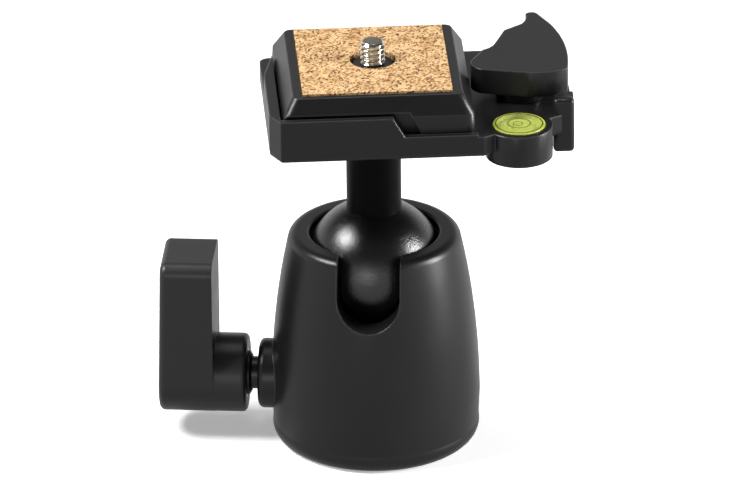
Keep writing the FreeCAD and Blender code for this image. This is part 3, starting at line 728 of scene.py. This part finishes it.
@dataclass
class LugPost:
    """Post at the right end of the clamp, from below the clamp's floor up to the top of the lug."""

    depth: float = 4.9 * MM
    rise: float = 9.75 * MM
    left: float = 44.7 * MM
    right: float = 50.05 * MM
    front: float = -15.1 * MM
    back: float = -11.8 * MM
    clamp_turn: float = 8.0
    clamp_screw_rise: float = 5.4 * MM
    edge_width: float = 1.1 * MM
    edge_steps: int = 4

    def build(self, shop: Workshop) -> None:
        """Make the post with rounded edges and put it on the clamp.

        Args:
            shop: The workshop that makes pieces.
        """
        clamp_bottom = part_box(Node.CLAMP_SCREW.value)[1][2] - self.clamp_screw_rise
        axis = node_centre(Node.CAMERA_SCREW)
        turned = Matrix.Rotation(math.radians(self.clamp_turn), 3, "Z")
        outline = (
            (self.left, self.front), (self.right, self.front), (self.right, self.back),
            (self.left, self.back),
        )
        corners = []
        for height in (clamp_bottom - self.depth, clamp_bottom + self.rise):
            for x, y in outline:
                flat = turned @ Vector((x, y, 0.0))
                corners.append(Vector((axis.x + flat.x, axis.y + flat.y, height)))
        faces = [(0, 3, 2, 1), (4, 5, 6, 7), (0, 1, 5, 4), (1, 2, 6, 5), (2, 3, 7, 6), (3, 0, 4, 7)]
        post = shop.add_mesh("lug_post", corners, faces, shop.materials[PAINT], "clamp")
        bevel = post.modifiers.new("soft_edges", "BEVEL")
        bevel.width = self.edge_width
        bevel.segments = self.edge_steps


@dataclass(frozen=True)
class SoftLamp:
    """One soft lamp, with its place and size in metres and its power in watts."""

    name: str
    place: tuple[float, float, float]
    width: float
    height: float
    power: float

    def build(self, aim: Vector) -> None:
        """Put the lamp in the scene.

        Args:
            aim: Point that it faces.
        """
        data = bpy.data.lights.new(self.name, "AREA")
        data.shape = "RECTANGLE"
        data.size = self.width
        data.size_y = self.height
        data.energy = self.power
        lamp = bpy.data.objects.new(self.name, data)
        lamp.location = self.place
        lamp.rotation_mode = "QUATERNION"
        lamp.rotation_quaternion = (aim - Vector(self.place)).to_track_quat("-Z", "Y")
        bpy.context.scene.collection.objects.link(lamp)


LAMPS = (
    SoftLamp("left", (-0.41, -0.08, 0.55), 0.25, 0.25, 6.4),
    SoftLamp("right", (0.66, -0.02, 0.22), 0.18, 0.42, 9.0),
    SoftLamp("top", (0.0, 0.15, 0.85), 0.3, 0.3, 1.2),
    SoftLamp("front", (-0.12, -0.75, 0.12), 0.25, 0.12, 0.5),
)


@dataclass
class Studio:
    """White floor and backdrop, soft lamps and the camera."""

    distance: float = 2.6
    elevation: float = 25.05
    azimuth: float = 4.6
    roll: float = 0.6
    target_x: float = -2.4 * MM
    target_z: float = 53.6 * MM
    focal_pixels: float = 10192.0
    sensor: float = 36.0
    lamp_aim: float = 50 * MM
    room_light: float = 0.06
    ceiling_from: float = 0.2
    ceiling_full: float = 0.45
    ceiling_light: float = 0.12
    floor_reach: float = 3.0
    floor_drop: float = 0.2 * MM
    floor_roughness: float = 0.9
    floor_bounce: Color = (0.24, 0.24, 0.24, 1.0)
    floor_seen: Color = (0.9, 0.9, 0.9, 1.0)
    glow_from: float = 0.3
    glow_full: float = 0.9
    glow_near: float = 0.36

    def build_camera(self) -> None:
        """Place the camera at the photograph's angle."""
        data = bpy.data.cameras.new("camera")
        data.sensor_width = self.sensor
        data.lens = self.focal_pixels * self.sensor / IMAGE_WIDTH
        camera = bpy.data.objects.new("camera", data)
        bpy.context.scene.collection.objects.link(camera)
        turn = math.radians(self.azimuth)
        rise = math.radians(self.elevation)
        back = Vector((math.sin(turn) * math.cos(rise), -math.cos(turn) * math.cos(rise), math.sin(rise)))
        side = Vector((math.cos(turn), math.sin(turn), 0.0))
        target = side * self.target_x + Vector((0, 0, self.target_z))
        look = (-back).to_track_quat("-Z", "Y").to_matrix()
        rolled = look @ Matrix.Rotation(math.radians(-self.roll), 3, "Z")
        camera.matrix_world = Matrix.Translation(target + back * self.distance) @ rolled.to_4x4()
        bpy.context.scene.camera = camera

    @staticmethod
    def seen_by_eye(
        nodes: bpy.types.Nodes, links: bpy.types.NodeLinks, path: bpy.types.Node
    ) -> bpy.types.NodeSocket:
        """Pick out the rays that show the background: seen directly, in a mirror or through glass.

        Args:
            nodes: Nodes of the material or the world.
            links: Its links.
            path: Its Light Path node.

        Returns:
            A value of 1 for those rays.
        """
        mirror = larger_of(nodes, links, path.outputs["Is Camera Ray"], path.outputs["Is Glossy Ray"])
        return larger_of(nodes, links, mirror, path.outputs["Is Transmission Ray"])

    def build_world(self) -> None:
        """White background for the camera, darker overhead in reflections, and a weak soft light."""
        world = bpy.data.worlds.new("studio")
        bpy.context.scene.world = world
        world.use_nodes = True
        nodes, links = world.node_tree.nodes, world.node_tree.links
        background = nodes["Background"]
        background.inputs["Color"].default_value = WHITE
        path = nodes.new("ShaderNodeLightPath")
        coordinates = nodes.new("ShaderNodeTexCoord")
        height = nodes.new("ShaderNodeSeparateXYZ")
        ceiling = range_node(
            nodes, (self.ceiling_from, self.ceiling_full), (1.0, self.ceiling_light), smooth=True
        )
        links.new(coordinates.outputs["Generated"], height.inputs["Vector"])
        links.new(height.outputs["Z"], ceiling.inputs["Value"])
        seen = larger_of(nodes, links, ceiling.outputs["Result"], path.outputs["Is Camera Ray"])
        strength = range_node(nodes, target=(self.room_light, 1.0))
        links.new(seen, strength.inputs["To Max"])
        links.new(self.seen_by_eye(nodes, links, path), strength.inputs["Value"])
        links.new(strength.outputs["Result"], background.inputs["Strength"])

    def build_floor(self) -> None:
        """White floor that keeps the soft shadow of the head and glows more with distance."""
        mesh = bpy.data.meshes.new("floor")
        reach = self.floor_reach
        outline = ((-reach, -reach), (reach, -reach), (reach, reach), (-reach, reach))
        mesh.from_pydata([(x, y, -self.floor_drop) for x, y in outline], [], [(0, 1, 2, 3)])
        floor = bpy.data.objects.new("floor", mesh)
        bpy.context.scene.collection.objects.link(floor)
        material, nodes, links = new_material("white_floor")
        shader = nodes["Principled BSDF"]
        shader.inputs["Roughness"].default_value = self.floor_roughness
        shader.inputs["Emission Color"].default_value = WHITE
        path = nodes.new("ShaderNodeLightPath")
        tone = mix_node(nodes, self.floor_bounce, self.floor_seen)
        geometry = nodes.new("ShaderNodeNewGeometry")
        away = nodes.new("ShaderNodeVectorMath")
        away.operation = "LENGTH"
        glow = range_node(nodes, (self.glow_from, self.glow_full), (self.glow_near, 1.0), smooth=True)
        links.new(geometry.outputs["Position"], away.inputs[0])
        links.new(away.outputs["Value"], glow.inputs["Value"])
        lift = range_node(nodes)
        links.new(glow.outputs["Result"], lift.inputs["To Max"])
        links.new(path.outputs["Is Camera Ray"], tone.inputs["Factor"])
        links.new(tone.outputs["Result"], shader.inputs["Base Color"])
        links.new(self.seen_by_eye(nodes, links, path), lift.inputs["Value"])
        links.new(lift.outputs["Result"], shader.inputs["Emission Strength"])
        mesh.materials.append(material)

    def build(self) -> None:
        """Build the floor, the light and the camera."""
        self.build_world()
        self.build_floor()
        for lamp in LAMPS:
            lamp.build(Vector((0.0, 0.0, self.lamp_aim)))
        self.build_camera()
        bpy.context.scene.view_settings.view_transform = "Standard"
        log.info("built the studio with %d lamps", len(LAMPS))


class BallHead:
    """The whole head: finishes of the solids and the pieces added to them."""

    def __init__(self, shop: Workshop) -> None:
        """Keep the workshop."""
        self.shop = shop

    def dress_solids(self) -> None:
        """Give every solid its finish."""
        table = {
            PAINT: (Node.HOUSING, Node.BASE_PLATE, Node.CLAMP_BASE, Node.QR_LEVER, Node.PLATE),
            MOULDED: (Node.LOCK_LEVER,),
            BALL_FINISH: (Node.BALL,),
            STEM_FINISH: (Node.STEM,),
            DARK_STEEL: (Node.LOCK_SCREW, Node.LOCK_COLLAR, Node.SCREW_CLIP, Node.LEVER_PIVOT),
            STEEL: (
                Node.WEDGE, Node.PRESSURE_CUP, Node.BASE_SCREWS, Node.CLAMP_SCREW, Node.CLAMP_WASHER,
                Node.LEVER_SPRING, Node.CAMERA_SCREW,
            ),
            BRASS: (Node.LEVER_INSERT,),
            NYLON: (Node.UPPER_SEAT, Node.LOWER_CUP),
            LEVEL_RIM: (Node.LEVEL_CUP,),
        }
        for finish, members in table.items():
            for node in members:
                self.shop.dress(node, self.shop.materials[finish])
        self.shop.dress(Node.CORK, self.shop.cork)
        self.shop.dress(Node.LEVEL_LIQUID, self.shop.liquid)
        self.shop.dress(Node.LEVEL_WINDOW, self.shop.window)

    def soften_solids(self) -> None:
        """Round the edges that the casting and the paint leave soft."""
        widths = {Node.QR_LEVER: 1.1 * MM, Node.CLAMP_BASE: 0.5 * MM, Node.PLATE: 0.6 * MM}
        for node, width in widths.items():
            self.shop.round_edges(node, width)

    def build(self) -> None:
        """Dress the solids and add the fine pieces."""
        self.dress_solids()
        self.soften_solids()
        CameraScrew().build(self.shop)
        RoundLevel().build(self.shop)
        LugPost().build(self.shop)


def main() -> None:
    """Load the frame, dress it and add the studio."""
    logging.basicConfig(level=logging.INFO)
    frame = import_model()
    BallHead(Workshop(frame)).build()
    Studio().build()


if __name__ == "__main__":
    main()
